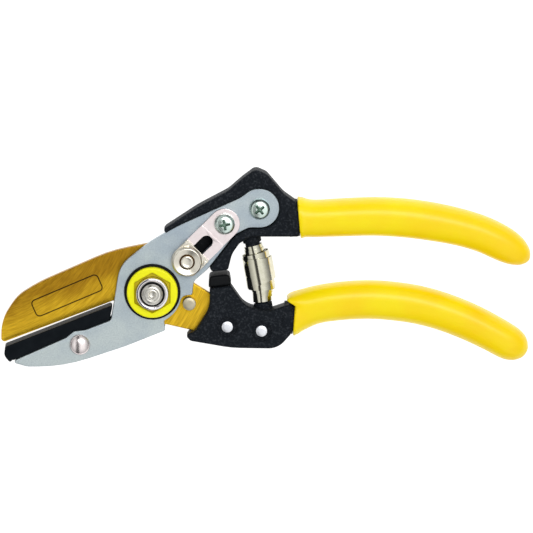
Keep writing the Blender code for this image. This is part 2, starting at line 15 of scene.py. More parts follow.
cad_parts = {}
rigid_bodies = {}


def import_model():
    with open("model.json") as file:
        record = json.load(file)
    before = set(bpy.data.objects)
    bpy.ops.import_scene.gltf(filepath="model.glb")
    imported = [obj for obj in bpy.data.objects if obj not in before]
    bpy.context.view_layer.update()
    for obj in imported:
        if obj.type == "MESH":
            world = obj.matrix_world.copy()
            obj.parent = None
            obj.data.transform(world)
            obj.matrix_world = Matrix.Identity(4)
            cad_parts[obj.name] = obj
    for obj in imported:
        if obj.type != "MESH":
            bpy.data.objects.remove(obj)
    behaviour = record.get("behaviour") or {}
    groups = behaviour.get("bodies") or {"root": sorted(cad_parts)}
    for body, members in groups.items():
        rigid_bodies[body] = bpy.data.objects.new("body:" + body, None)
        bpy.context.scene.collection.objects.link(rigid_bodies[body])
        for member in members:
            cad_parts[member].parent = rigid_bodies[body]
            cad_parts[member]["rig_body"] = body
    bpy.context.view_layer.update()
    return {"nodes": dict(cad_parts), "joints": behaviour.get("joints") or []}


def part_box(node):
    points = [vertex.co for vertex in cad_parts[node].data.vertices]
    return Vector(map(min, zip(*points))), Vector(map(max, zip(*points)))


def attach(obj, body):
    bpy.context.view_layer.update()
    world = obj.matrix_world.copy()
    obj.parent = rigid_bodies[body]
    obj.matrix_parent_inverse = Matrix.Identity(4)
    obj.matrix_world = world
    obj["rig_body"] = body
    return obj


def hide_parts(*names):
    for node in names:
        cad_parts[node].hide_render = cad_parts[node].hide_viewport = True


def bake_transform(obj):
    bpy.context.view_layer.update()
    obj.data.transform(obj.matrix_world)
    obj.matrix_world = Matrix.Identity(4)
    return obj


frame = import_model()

MM = 0.001
ARC_STEP = math.radians(5)  # longest stretch of an arc that one straight side stands for
SIDES = 96  # sides of a turned piece
NO_RADIUS = 0.02  # what is left of a round that an inset uses up


def span(node, axis):
    """Lowest and highest coordinate of a node along an axis, in millimetres."""
    low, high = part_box(node)
    return low[axis] / MM, high[axis] / MM


def breadth(node):
    """A node's size along X, in millimetres."""
    low, high = span(node, 0)
    return high - low


def middle(node):
    """Centre of a node's box in the plane of the tool, in millimetres."""
    low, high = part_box(node)
    centre = (low + high) / (2 * MM)
    return Vector((centre.x, centre.y))


# Heights and places that the frame gives.
BLADE_LOW, BLADE_HIGH = span("blade", 2)
MID = (BLADE_LOW + BLADE_HIGH) / 2
PLATE_LOW, PLATE_HIGH = span("front_jaw_plate", 2)
REAR_LOW, REAR_HIGH = span("rear_jaw_plate", 2)
CASTING_LOW, CASTING_HIGH = span("upper_handle_casting", 2)
PIVOT = middle("pivot_bolt")
ANVIL_RIVET = middle("anvil_rivet")
GUIDE_SCREW = middle("guide_screw")
HANDLE_SCREW = middle("handle_screw")
CATCH = middle("catch_rivet")
SLIDE = Vector(frame["joints"][1]["axis"][:2])
SLIDE_HEADING = math.atan2(SLIDE.y, SLIDE.x)
TRAVEL = frame["joints"][1]["range_m"][1] / MM

HANDLE_RIVETS = ("handle_rivet_jaw_side", "handle_rivet_grip_side")
BOLT_HOLE = 4.15
FASTENER_HOLE = 2.15
WEB = 2.15  # half the thickness of what stands between the jaw plates

# The frame's own outlines, with the same corners: (x, y, radius of the round).
PLATE_OUTLINE = [
    (-52.5, -27.5, 0.6), (-47.6, -28.95, 7.0), (-33.6, -28.9, 60.0), (-10.5, -21.2, 80.0),
    (4.9, -15.0, 0.9), (4.4, -11.2, 0.9), (9.5, -8.2, 11.7), (11.2, -1.6, 2.6),
    (15.1, -1.3, 0.9), (15.7, 4.0, 3.5), (21.2, 8.8, 14.0), (31.2, 21.8, 9.0),
    (36.5, 24.5, 4.0), (48.15, 24.5, 7.4), (48.15, 39.5, 7.4), (38.0, 39.5, 6.5),
    (33.0, 35.9, 5.0), (9.2, 25.1, 60.0), (-1.0, 19.0, 30.0), (-12.35, 9.95, 12.0),
    (-14.55, -4.2, 40.0), (-15.65, -11.1, 2.0), (-25.5, -14.9, 4.0), (-29.8, -15.4, 2.0),
    (-32.8, -17.9, 3.0), (-51.9, -26.4, 0.5),
]
PLATE_CROWN = (17, 18)  # corners of the crown, which is lower on the rear plate
REAR_CROWN_DROP = 2.0

BLADE_OUTLINE = [
    (-57.4, -20.6, 1.3), (-57.4, -11.6, 18.0), (-51.0, -2.0, 16.0), (-42.6, 3.1, 50.0),
    (-15.7, 15.06, 60.0), (1.2, 18.4, 1.2), (-0.6, 13.9, 0.6), (10.0, 14.6, 8.5),
    (14.7, 3.2, 3.0), (23.0, -2.0, 8.0), (31.0, -9.4, 8.0), (46.4, -10.2, 4.4),
    (45.6, -19.4, 4.4), (24.0, -17.6, 6.0), (5.2, -13.2, 0.8), (0.0, -14.9, 13.0),
    (-11.5, -12.2, 13.0), (-14.4, -4.1, 0.8),
]
CUTTING_EDGE = (Vector((-57.4, -20.2)), Vector((-14.4, -4.05)))

ANVIL_OUTLINE = [
    (-55.8, -21.4, 0.6), (-56.4, -24.7, 3.0), (-54.0, -27.6, 0.8), (-53.1, -26.5, 0.3),
    (-50.0, -26.7, 3.0), (-34.0, -25.8, 12.0), (-22.5, -22.2, 3.0), (-19.5, -16.5, 3.0),
    (-16.2, -10.8, 2.4), (-14.95, -5.25, 0.8),
]

UPPER_CASTING_OUTLINE = [
    (21.4, 9.8, 0.9), (22.6, 7.8, 0.9), (28.7, 8.4, 1.2), (30.2, 14.6, 9.0),
    (33.0, 18.6, 1.8), (37.4, 21.2, 1.6), (55.6, 21.2, 0.8), (54.5, 34.4, 0.8),
    (50.0, 37.6, 9.0), (43.6, 45.2, 5.0), (38.9, 47.2, 3.2), (33.6, 43.2, 4.0),
    (28.6, 38.8, 12.0), (17.0, 32.6, 40.0), (4.0, 24.0, 1.2), (5.6, 21.9, 0.8),
    (8.8, 21.4, 1.5), (21.4, 24.6, 4.0), (25.4, 19.4, 5.0), (19.6, 11.6, 0.8),
]

LOWER_CASTING_OUTLINE = [
    (21.7, 1.3, 0.8), (21.8, -6.2, 10.0), (16.4, -15.0, 3.5), (12.2, -16.4, 1.2),
    (14.4, -18.9, 2.0), (30.0, -21.6, 40.0), (47.6, -21.9, 8.0), (52.4, -16.4, 0.8),
    (53.2, -4.3, 1.0), (44.0, -7.4, 9.0), (35.4, -5.6, 8.0), (29.9, 2.3, 0.8),
]
BUFFER_OUTLINE = [
    (21.3, 1.7, 0.4), (29.9, 2.7, 0.4), (29.2, 6.7, 1.4), (21.6, 5.9, 1.4),
]

# Grips: centre of the section, half its width, half its thickness, and the heading of the centre line.
UPPER_GRIP = [
    (55.5, 27.75, 7.75, 7.8, 5),
    (58.2, 27.5, 7.15, 7.8, -3),
    (62.5, 27.35, 6.95, 7.8, 0),
    (72.2, 27.75, 7.1, 7.8, 2),
    (84.0, 28.1, 7.2, 7.8, 0),
    (95.5, 27.5, 7.25, 7.8, -5),
    (106.8, 25.95, 7.15, 7.8, -10),
    (117.0, 23.8, 6.9, 7.7, -15),
    (125.5, 21.1, 6.75, 7.5, -22),
    (132.3, 17.8, 6.55, 7.1, -28),
    (136.8, 15.2, 5.8, 6.4, -32),
    (140.2, 13.0, 4.2, 4.8, -34),
    (142.2, 11.7, 2.0, 2.4, -34),
    (142.8, 11.3, 0.0, 0.0, -34),
]
LOWER_GRIP = [
    (53.65, -10.9, 6.75, 7.8, -4),
    (57.0, -7.8, 7.2, 7.8, 14),
    (63.0, -5.7, 7.05, 7.8, 9),
    (72.0, -4.4, 7.15, 7.8, 4),
    (82.0, -3.9, 7.2, 7.8, -1),
    (91.3, -4.5, 7.2, 7.8, -6),
    (100.8, -5.95, 7.15, 7.8, -12),
    (110.3, -8.6, 7.05, 7.8, -18),
    (119.9, -12.4, 6.95, 7.7, -24),
    (128.5, -16.7, 6.75, 7.5, -28),
    (135.0, -20.4, 6.5, 7.1, -30),
    (138.6, -22.4, 5.4, 5.9, -30),
    (141.0, -23.8, 3.0, 3.4, -30),
    (141.9, -24.3, 0.0, 0.0, -30),
]
GRIP_WALL = 1.6
CORE_INSET = GRIP_WALL + 0.3
COLLAR_INSET = 0.7  # how far a grip stands proud of the casting at its mouth
LIP_REACH = Vector((-3.3, 0.8, 0.0))  # how far the lower grip's lip runs on over its casting
NO_REACH = Vector((0.0, 0.0, 0.0))
SQUARENESS = 2.5  # exponent of the sections' superellipse; 2 is an ellipse

SPRING_TOP = Vector((37.95, 17.9))
SPRING_FOOT = Vector((41.75, -4.6))


# ---------------- outlines


def arc(corner, before, after, radius):
    """Points of the round that takes off a corner."""
    back = (before - corner).normalized()
    ahead = (after - corner).normalized()
    half = back.angle(ahead) / 2
    centre = corner + (back + ahead).normalized() * (radius / math.sin(half))
    first = corner + back * (radius / math.tan(half)) - centre
    sweep = (math.pi - 2 * half) * math.copysign(1, ahead.cross(back))
    steps = max(2, round(abs(sweep) / ARC_STEP + 0.37))  # clear of a half, so that every level agrees
    return [centre + Matrix.Rotation(sweep * step / steps, 2) @ first for step in range(steps + 1)]


def outline(corners, inset=0.0):
    """Points of a closed outline with rounded corners, moved inwards by inset."""
    places = [Vector(corner[:2]) for corner in corners]
    area = sum(places[index - 1].cross(place) for index, place in enumerate(places))
    moved = []
    for index, place in enumerate(places):
        back = (places[index - 1] - place).normalized()
        ahead = (places[(index + 1) % len(places)] - place).normalized()
        convex = -math.copysign(1, back.cross(ahead) * area)
        reach = convex * inset / math.sin(back.angle(ahead) / 2)
        radius = max(NO_RADIUS, corners[index][2] - convex * inset)
        moved.append((place + (back + ahead).normalized() * reach, radius))
    points = []
    for index, (corner, radius) in enumerate(moved):
        points += arc(corner, moved[index - 1][0], moved[(index + 1) % len(moved)][0], radius)
    return points


def softened(profile):
    """An open profile of (radius, height) points; a third number rounds that corner."""
    places = [Vector(point[:2]) for point in profile]
    points = [places[0]]
    for index in range(1, len(profile) - 1):
        if len(profile[index]) == 3:
            points += arc(places[index], places[index - 1], places[index + 1], profile[index][2])
        else:
            points.append(places[index])
    return [*points, places[-1]]


def mirrored(profile):
    """A profile's other half, below height 0."""
    return [(point[0], -point[1], *point[2:]) for point in reversed(profile)]


def toward(turn):
    """The unit vector at an angle from X, in radians."""
    return Vector((math.cos(turn), math.sin(turn)))


def ring(centre, radius, sides=SIDES, start=0.0):
    return [Vector(centre) + toward(start + 2 * math.pi * side / sides) * radius for side in range(sides)]


def capsule(start, end, radius, steps=24):
    """Outline of a strip with round ends about two points."""
    run = end - start
    heading = math.atan2(run.y, run.x)
    points = []
    for centre, first in ((end, heading - math.pi / 2), (start, heading + math.pi / 2)):
        for step in range(steps + 1):
            points.append(centre + toward(first + math.pi * step / steps) * radius)
    return points


def along_slide(distance):
    """A point on the catch's line, that far from its locked place."""
    return CATCH + SLIDE * distance


def placed(corners, centre, heading):
    """Outline corners given about a centre, turned to a heading."""
    turn = Matrix.Rotation(heading, 2)
    return [(*(centre + turn @ Vector((x, y))), radius) for x, y, radius in corners]


def rim(low, high, edge, steps=4):
    """Heights and insets up a wall whose two edges are rounded."""
    turns = [math.pi / 2 * step / steps for step in range(steps + 1)]
    rise = [(edge * (1 - math.cos(turn)), edge * (1 - math.sin(turn))) for turn in turns]
    return [(low + up, inset) for up, inset in rise] + [(high - up, inset) for up, inset in reversed(rise)]


# ---------------- meshes


def bridge(mesh_data, below, above):
    """Faces between two rings of as many points; a ring of one point is a tip."""
    count = max(len(below), len(above))
    for index in range(count):
        after = (index + 1) % count
        if len(above) == 1:
            mesh_data.faces.new((below[index], below[after], above[0]))
        elif len(below) == 1:
            mesh_data.faces.new((below[0], above[after], above[index]))
        else:
            mesh_data.faces.new((below[index], below[after], above[after], above[index]))


def solid(loops, profile):
    """A solid between loops that each give their points for an inset: the outside first, then holes."""
    mesh_data = bmesh.new()
    rims = []
    for loop in loops:
        levels = []
        for height, inset in profile:
            levels.append([mesh_data.verts.new((point.x, point.y, height)) for point in loop(inset)])
        for below, above in zip(levels, levels[1:]):
            bridge(mesh_data, below, above)
        rims.append((levels[0], levels[-1]))
    for side in (0, 1):
        edges = []
        for both in rims:
            verts = both[side]
            edges += [mesh_data.edges.get((verts[index - 1], vert)) for index, vert in enumerate(verts)]
        bmesh.ops.triangle_fill(mesh_data, use_beauty=True, edges=edges, normal=(0, 0, 1))
    return mesh_data


def prism(corners, profile, holes=()):
    """A solid over one outline; each hole is a function of the inset."""
    return solid([lambda inset: outline(corners, inset), *holes], profile)


def slab(corners, low, high, edge, holes=()):
    """A plate with rounded edges."""
    return prism(corners, rim(low, high, edge), holes)


def round_hole(centre, radius):
    return lambda inset: ring(centre, radius + inset)


def slot_hole(start, end, radius):
    return lambda inset: capsule(start, end, radius + inset)


def turned(profile, centre=(0, 0), sides=SIDES):
    """A profile of (radius, height) points turned about an upright axis."""
    mesh_data = bmesh.new()
    rings = []
    for radius, height in profile:
        points = ring(centre, radius, sides) if radius > 0 else [Vector(centre)]
        rings.append([mesh_data.verts.new((point.x, point.y, height)) for point in points])
    if profile[0][0] > 0:
        rings.append(rings[0])
    for below, above in zip(rings, rings[1:]):
        bridge(mesh_data, below, above)
    return mesh_data


def bore(centre, radius):
    """Cutter for a round hole through the whole tool."""
    return turned([(0, -1), (radius, -1), (radius, 2 * MID + 1), (0, 2 * MID + 1)], centre)


def loft(rings):
    """A skin through rings of points, flat at its ends; the last ring may be a single point."""
    mesh_data = bmesh.new()
    rows = [[mesh_data.verts.new(point) for point in points] for points in rings]
    for near, far in zip(rows, rows[1:]):
        bridge(mesh_data, near, far)
    mesh_data.faces.new(rows[0])
    if len(rows[-1]) > 1:
        mesh_data.faces.new(rows[-1])
    return mesh_data


def cleaned(mesh_data):
    bmesh.ops.remove_doubles(mesh_data, verts=mesh_data.verts, dist=1e-4)
    bmesh.ops.dissolve_degenerate(mesh_data, edges=mesh_data.edges, dist=1e-4)
    bmesh.ops.recalc_face_normals(mesh_data, faces=mesh_data.faces)
    return mesh_data


def carve(target, tool, operation="DIFFERENCE"):
    """What is left of one mesh after an exact Boolean with another."""
    helpers = []
    for mesh_data in (target, tool):
        mesh = bpy.data.meshes.new("helper")
        cleaned(mesh_data).to_mesh(mesh)
        mesh_data.free()
        helpers.append(bpy.data.objects.new("helper", mesh))
        bpy.context.scene.collection.objects.link(helpers[-1])
    step = helpers[0].modifiers.new("cut", "BOOLEAN")
    step.operation = operation
    step.solver = "EXACT"
    step.object = helpers[1]
    left = bmesh.new()
    graph = bpy.context.evaluated_depsgraph_get()
    left.from_mesh(helpers[0].evaluated_get(graph).to_mesh())
    for helper in helpers:
        mesh = helper.data
        bpy.data.objects.remove(helper)
        bpy.data.meshes.remove(mesh)
    return left


def piece(mesh_data, node, look, crease=35, flat_faces=True, other_look=None, other_faces=None):
    """Puts a mesh into the scene in place of a node, on that node's body.

    Faces whose centre, in millimetres, passes the test other_faces take the other look.
    """
    made = shown(mesh_data, f"{node}_finished", look, crease, flat_faces)
    if other_look:
        made.data.materials.append(other_look)
        for face in made.data.polygons:
            face.material_index = int(other_faces(face.center / MM))
    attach(made, frame["nodes"][node]["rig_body"])
    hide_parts(node)
    return made


def shown(mesh_data, name, look, crease=35, flat_faces=True):
    """A smooth-shaded object that keeps edges sharper than crease degrees, and its large faces flat."""
    cleaned(mesh_data)
    bmesh.ops.scale(mesh_data, vec=(MM, MM, MM), verts=mesh_data.verts)
    mesh = bpy.data.meshes.new(name)
    mesh_data.to_mesh(mesh)
    mesh_data.free()
    mesh.shade_smooth()
    mesh.set_sharp_from_angle(angle=math.radians(crease))
    mesh.materials.append(look)
    made = bpy.data.objects.new(name, mesh)
    bpy.context.scene.collection.objects.link(made)
    if flat_faces:
        normals = made.modifiers.new("flat_faces", "WEIGHTED_NORMAL")
        normals.keep_sharp = True
    return made


# ---------------- finishes


class Shading:
    """A node tree, built up node by node."""

    def __init__(self, tree):
        self.nodes = tree.nodes
        self.links = tree.links

    def node(self, kind, inputs, **settings):
        """Adds a node, sets its properties, and links or sets each of its inputs."""
        made = self.nodes.new(kind)
        for name, value in settings.items():
            setattr(made, name, value)
        for name, value in inputs.items():
            if isinstance(value, bpy.types.NodeSocket):
                self.links.new(value, made.inputs[name])
            else:
                made.inputs[name].default_value = value
        return made

    def maths(self, operation, first, second=0.0, third=0.0):
        made = self.node("ShaderNodeMath", {0: first, 1: second, 2: third}, operation=operation)
        return made.outputs[0]

    def along(self, x, y, direction):
        """The dot product of x and y with a fixed direction."""
        shares = [self.maths("MULTIPLY", socket, value) for socket, value in zip((x, y), direction)]
        return self.maths("ADD", *shares)

    def length(self, x, y):
        squares = [self.maths("MULTIPLY", value, value) for value in (x, y)]
        return self.maths("SQRT", self.maths("ADD", *squares))

    def ranged(self, value, before, after):
        """A value carried over from one range to another, and held at its ends."""
        inputs = {0: value, 1: before[0], 2: before[1], 3: after[0], 4: after[1]}
        return self.node("ShaderNodeMapRange", inputs).outputs[0]

    def graded(self, factor, stops):
        """Colour along a ramp of (position, colour) stops."""
        made = self.node("ShaderNodeValToRGB", {"Fac": factor})
        for spare in stops[2:]:
            made.color_ramp.elements.new(0.5)
        for element, (position, colour) in zip(made.color_ramp.elements, stops):
            element.position = position
            element.color = colour
        return made.outputs["Color"]

    def mix(self, factor, first, second, blend="MIX"):
        inputs = {0: factor, 6: first, 7: second}
        return self.node("ShaderNodeMix", inputs, data_type="RGBA", blend_type=blend).outputs[2]


class Finish(Shading):
    """A Principled material whose colour, roughness and relief vary over the surface."""

    def __init__(self, name, metallic, roughness):
        self.material = bpy.data.materials.new(name)
        self.material.use_nodes = True
        super().__init__(self.material.node_tree)
        self.shader = self.nodes["Principled BSDF"]
        self.place = self.nodes.new("ShaderNodeTexCoord").outputs["Object"]
        self.set(Metallic=metallic, Roughness=roughness)

    def set(self, **values):
        for name, value in values.items():
            self.shader.inputs[name.replace("_", " ")].default_value = value
        return self

    def noise(self, grain, stretch=(1, 1, 1), heading=0.0, detail=3.0, place=None):
        """Noise from 0 to 1 with grains of that many millimetres, stretched along a heading."""
        aligned = {"Vector": place or self.place, "Rotation": (0, 0, -heading)}
        scale = [1 / (grain * MM * factor) for factor in stretch]
        turned_place = self.node("ShaderNodeMapping", aligned).outputs[0]
        scaled = self.node("ShaderNodeMapping", {"Vector": turned_place, "Scale": scale})
        made = self.node("ShaderNodeTexNoise", {"Vector": scaled.outputs[0], "Scale": 1.0, "Detail": detail})
        return made.outputs["Fac"]

    def ramp(self, factor, low, high, start=0.3, end=0.7):
        """Blends between two colours as factor goes from start to end."""
        return self.graded(factor, [(start, linear(low)), (end, linear(high))])

    def colour(self, socket):
        self.links.new(socket, self.shader.inputs["Base Color"])

    def shine(self, factor, low, high):
        """Roughness from low to high as factor goes from 0.3 to 0.7."""
        self.links.new(self.ranged(factor, (0.3, 0.7), (low, high)), self.shader.inputs["Roughness"])

    def relief(self, factor, depth, strength=1.0):
        """Bumps of that depth in millimetres, on top of any that are there."""
        made = self.node("ShaderNodeBump", {"Height": factor, "Distance": depth * MM, "Strength": strength})
        socket = self.shader.inputs["Normal"]
        if socket.is_linked:
            self.links.new(socket.links[0].from_socket, made.inputs["Normal"])
        self.links.new(made.outputs[0], socket)


def linear(colour):
    """Linear light, with alpha, for a colour as a picker shows it."""
    light = [value / 12.92 if value <= 0.04045 else ((value + 0.055) / 1.055) ** 2.4 for value in colour]
    return (*light, 1.0)


def plate_steel():
    """Satin ground steel with soft clouds and fine marks, a painted shade that darkens it towards the upper
    handle, and a painted shadow that makes the faces that meet the blade dark.
    """
    made = Finish("plate_steel", 0.85, 0.42)
    separate = made.node("ShaderNodeSeparateXYZ", {0: made.place})
    clouds = made.noise(9.0)
    marks = made.noise(0.55, detail=4.0)
    strokes = made.noise(0.4, stretch=(30, 1, 1), heading=math.radians(35))
    # Painted shade: the steel is coloured darker towards the upper handle.
    painted_shade_upwards = made.ranged(separate.outputs["Y"], (-0.025, 0.02), (0.16, -0.14))
    shade = made.maths("ADD", clouds, painted_shade_upwards)
    base = made.ramp(shade, (0.70, 0.75, 0.785), (0.80, 0.84, 0.84), 0.25, 0.75)
    flecks = made.ramp(marks, (0.90, 0.91, 0.92), (1.0, 1.0, 1.0))
    steel = made.mix(1.0, base, flecks, "MULTIPLY")
    # Painted shadow: the faces that meet the blade, between the jaw plates, are coloured near black.
    depth = made.maths("ABSOLUTE", made.maths("SUBTRACT", separate.outputs["Z"], MID * MM))
    painted_shadow_inside = made.maths("LESS_THAN", depth, (PLATE_LOW - MID + 0.05) * MM)
    made.colour(made.mix(painted_shadow_inside, steel, linear((0.09, 0.10, 0.11))))
    made.shine(marks, 0.36, 0.50)
    made.relief(marks, 0.006)
    made.relief(strokes, 0.005)
    return made.material


def gold_blade():
    """Gold-coated steel over curved grinding marks, darker towards the back, with a plain printed frame."""
    made = Finish("gold_coated_steel", 0.9, 0.34)
    separate = made.node("ShaderNodeSeparateXYZ", {0: made.place})
    x, y = separate.outputs["X"], separate.outputs["Y"]

    grinding_centre = Vector((-70, 39)) * MM
    across = made.maths("SUBTRACT", x, grinding_centre.x)
    up = made.maths("SUBTRACT", y, grinding_centre.y)
    bearing = made.maths("MULTIPLY", made.maths("ARCTAN2", up, across), 4 * MM)
    swirl = made.node("ShaderNodeCombineXYZ", {0: made.length(across, up), 1: bearing})
    fine = made.noise(0.35, detail=4.0, place=swirl.outputs[0])
    broad = made.noise(1.1, detail=3.0, place=swirl.outputs[0])

    # Distance from the cutting edge, from 0 at the edge to 1 near the back.
    start, end = CUTTING_EDGE
    run = (end - start).normalized() / (18 * MM)
    past_start = [made.maths("SUBTRACT", socket, value * MM) for socket, value in zip((x, y), start)]
    inwards = made.along(*past_start, Vector((-run.y, run.x)))
    patchy = made.maths("ADD", inwards, made.maths("MULTIPLY", made.noise(11.0), 0.7))
    body = made.ramp(patchy, (0.98, 0.81, 0.20), (0.73, 0.555, 0.12), 0.45, 1.30)
    streaks = made.ramp(broad, (0.93, 0.91, 0.86), (1.0, 1.0, 1.0), 0.35, 0.65)
    scratches = made.ramp(fine, (0.85, 0.83, 0.78), (1.0, 1.0, 1.0), 0.32, 0.62)
    metal = made.mix(1.0, made.mix(1.0, body, streaks, "MULTIPLY"), scratches, "MULTIPLY")
    made.colour(made.mix(frame_line(made, x, y), metal, linear((0.10, 0.08, 0.03))))
    made.shine(fine, 0.28, 0.42)
    made.relief(fine, 0.006)
    return made.material


def frame_line(made, x, y):
    """1 on a thin rounded rectangle, nearly in line with the cutting edge, and 0 elsewhere."""
    centre = Vector((-32.4, -2.15)) * MM
    half_length, half_height, corner, line = 13.6 * MM, 3.35 * MM, 1.6 * MM, 0.19 * MM
    run = toward(math.radians(23.2))
    over = made.maths("SUBTRACT", x, centre.x)
    up = made.maths("SUBTRACT", y, centre.y)
    past = []
    for direction, half in ((run, half_length), (Vector((-run.y, run.x)), half_height)):
        reach = made.maths("ABSOLUTE", made.along(over, up, direction))
        past.append(made.maths("SUBTRACT", reach, half - corner))
    outside = made.length(*[made.maths("MAXIMUM", value, 0.0) for value in past])
    inside = made.maths("MINIMUM", made.maths("MAXIMUM", *past), 0.0)
    from_line = made.maths("ABSOLUTE", made.maths("SUBTRACT", made.maths("ADD", outside, inside), corner))
    return made.ranged(from_line, (line, line * 1.5), (0.92, 0.0))


def black_casting():
    """Black powder paint on a die casting: a fine grain, with a few paler flecks."""
    made = Finish("casting_black", 0.0, 0.5).set(Specular_IOR_Level=0.04)
    grain = made.noise(0.5, detail=4.0)
    flecks = made.noise(0.7, detail=6.0)
    made.colour(made.ramp(flecks, (0.095, 0.11, 0.13), (0.24, 0.255, 0.275), 0.50, 0.80))
    made.shine(grain, 0.38, 0.58)
    made.relief(grain, 0.04)
    made.relief(flecks, 0.03)
    return made.material


def yellow_vinyl():
    """Dipped vinyl: a deep, slightly waxy yellow with a faint orange-peel skin."""
    made = Finish("grip_vinyl", 0.0, 0.34).set(Specular_IOR_Level=0.25)
    made.set(Subsurface_Weight=0.08, Subsurface_Scale=0.001, Subsurface_Radius=(1.0, 0.6, 0.1))
    made.set(Coat_Weight=0.15, Coat_Roughness=0.22)
    clouds = made.noise(14.0)
    peel = made.noise(1.3, detail=2.0)
    fine = made.noise(0.25)
    separate = made.node("ShaderNodeSeparateXYZ", {0: made.place})
    golden = made.ranged(separate.outputs["X"], (0.085, 0.14), (0.12, -0.25))
    shade = made.maths("ADD", clouds, golden)
    made.colour(made.ramp(shade, (1.0, 0.835, 0.0), (1.0, 0.90, 0.0), 0.2, 0.7))
    made.shine(fine, 0.28, 0.40)
    made.relief(peel, 0.02)
    made.relief(fine, 0.003)
    return made.material


def plain(
    name, low, high, roughness, metallic=0.0, specular=0.5,
    clouds=3.0, grain=0.5, detail=4.0, spread=0.07, bump=0.008,
):
    """One material all over: clouds of colour between low and high, and a fine skin of shine and relief."""
    made = Finish(name, metallic, roughness).set(Specular_IOR_Level=specular)
    patches = made.noise(clouds)
    skin = made.noise(grain, detail=detail)
    made.colour(made.ramp(patches, low, high))
    made.shine(skin, roughness - spread, roughness + spread)
    made.relief(skin, bump)
    return made.material


def bright_metal(name, low, high, roughness, bump=0.0012):
    """Plated metal with handling marks."""
    marks = {"clouds": 2.2, "grain": 0.45, "detail": 5.0, "spread": 0.03, "bump": bump}
    return plain(name, low, high, roughness, metallic=1.0, **marks)


PLATE_STEEL = plate_steel()
GOLD = gold_blade()
CASTING_BLACK = black_casting()
ANVIL_BLACK = plain(
    "anvil_black", (0.07, 0.085, 0.10), (0.095, 0.11, 0.125), 0.37, specular=0.015, clouds=4.0, detail=3.0
)
BRIGHT = bright_metal("rivet_steel", (0.92, 0.88, 0.88), (0.96, 0.93, 0.92), 0.24)
CHROME = bright_metal("nut_chrome", (0.88, 0.86, 0.88), (0.93, 0.92, 0.93), 0.12)
WHITE_RIVET = bright_metal("peened_rivet", (0.90, 0.91, 0.93), (0.95, 0.96, 0.98), 0.42)
PIN_STEEL = bright_metal("pin_steel", (0.72, 0.69, 0.60), (0.80, 0.77, 0.68), 0.45, bump=0.004)
ZINC = bright_metal("zinc", (0.80, 0.87, 0.84), (0.88, 0.94, 0.91), 0.28)
# Painted shade for the screws' cross recesses.
ZINC_PAINTED_SHADE = bright_metal("zinc_painted_shade", (0.34, 0.44, 0.39), (0.56, 0.66, 0.60), 0.40, bump=0.01)
NICKEL = bright_metal("nickel", (0.95, 0.90, 0.90), (0.98, 0.94, 0.94), 0.34)
CATCH_NICKEL = bright_metal("catch_nickel", (0.88, 0.86, 0.80), (0.91, 0.89, 0.84), 0.32, bump=0.0)
# Brown grime with painted shade for the catch's rivet groove, and a painted shadow low on its cup.
BROWN_GRIME_AND_PAINTED_SHADE = bright_metal("brown_grime_and_painted_shade", (0.24, 0.16, 0.09), (0.36, 0.26, 0.16), 0.5)
BOLT_STEEL = bright_metal("bolt_steel", (0.84, 0.83, 0.79), (0.90, 0.89, 0.86), 0.30, bump=0.0006)
SPRING_NICKEL = bright_metal("spring_nickel", (0.80, 0.79, 0.71), (0.86, 0.85, 0.78), 0.12)
BRONZE = bright_metal("bronze", (0.66, 0.50, 0.30), (0.76, 0.60, 0.38), 0.42)
VINYL = yellow_vinyl()
LEMON = plain("yellow_plastic", (0.955, 0.945, 0.0), (0.985, 0.975, 0.03), 0.40, specular=0.3)
# Painted shade for the floor and lower walls of the ring's hex recess.
PAINTED_SHADE_YELLOW = plain("yellow_plastic_painted_shade", (0.76, 0.69, 0.0), (0.84, 0.76, 0.03), 0.5, specular=0.3)
NYLON = plain("black_nylon", (0.02, 0.028, 0.035), (0.04, 0.048, 0.055), 0.42, specular=0.15)
RUBBER = plain("black_rubber", (0.03, 0.04, 0.05), (0.055, 0.065, 0.075), 0.55, specular=0.12, bump=0.02)


# ---------------- jaw plates, anvil and blade


def jaw_plate(node, crown_drop, holes):
    """A stamped plate with softened edges."""
    corners = list(PLATE_OUTLINE)
    for index in PLATE_CROWN:
        x, y, radius = corners[index]
        corners[index] = (x, y - crown_drop, radius)
    low, high = span(node, 2)
    piece(slab(corners, low, high, 0.3, holes), node, PLATE_STEEL)


def jaw_plates():
    """The front plate has the catch's slot; the rear one has a lower crown."""
    holes = [round_hole(PIVOT, BOLT_HOLE)]
    holes += [round_hole(centre, FASTENER_HOLE) for centre in (ANVIL_RIVET, GUIDE_SCREW, HANDLE_SCREW)]
    slot = slot_hole(along_slide(-0.4), along_slide(TRAVEL + 2.4), 2.3)
    jaw_plate("front_jaw_plate", 0.0, [*holes, slot])
    jaw_plate("rear_jaw_plate", REAR_CROWN_DROP, holes)


def plate_pocket(low, high, flare=0.0):
    """Room for a jaw plate between two heights, with a lip that flares open at the outer face."""
    room = 0.3
    lip = [(0.0, 0.0), (0.35, 0.12), (0.6, 0.4), (0.75, 0.95), (2.0, 0.95)]
    if flare > 0:
        profile = [(low, -room), *[(high - 0.7 + up, -room - out) for up, out in lip]]
    elif flare < 0:
        profile = [*[(low + 0.7 - up, -room - out) for up, out in reversed(lip)], (high, -room)]
    else:
        profile = [(low, -room), (high, -room)]
    return prism(PLATE_OUTLINE, profile)


def anvil():
    """The block that the blade closes on, with its tongue between the jaw plates."""
    low, high = span("anvil", 2)
    block = slab(ANVIL_OUTLINE, low, high, 0.55)
    block = carve(block, plate_pocket(MID + WEB, high + 5))
    block = carve(block, plate_pocket(low - 5, MID - WEB))
    piece(block, "anvil", ANVIL_BLACK)


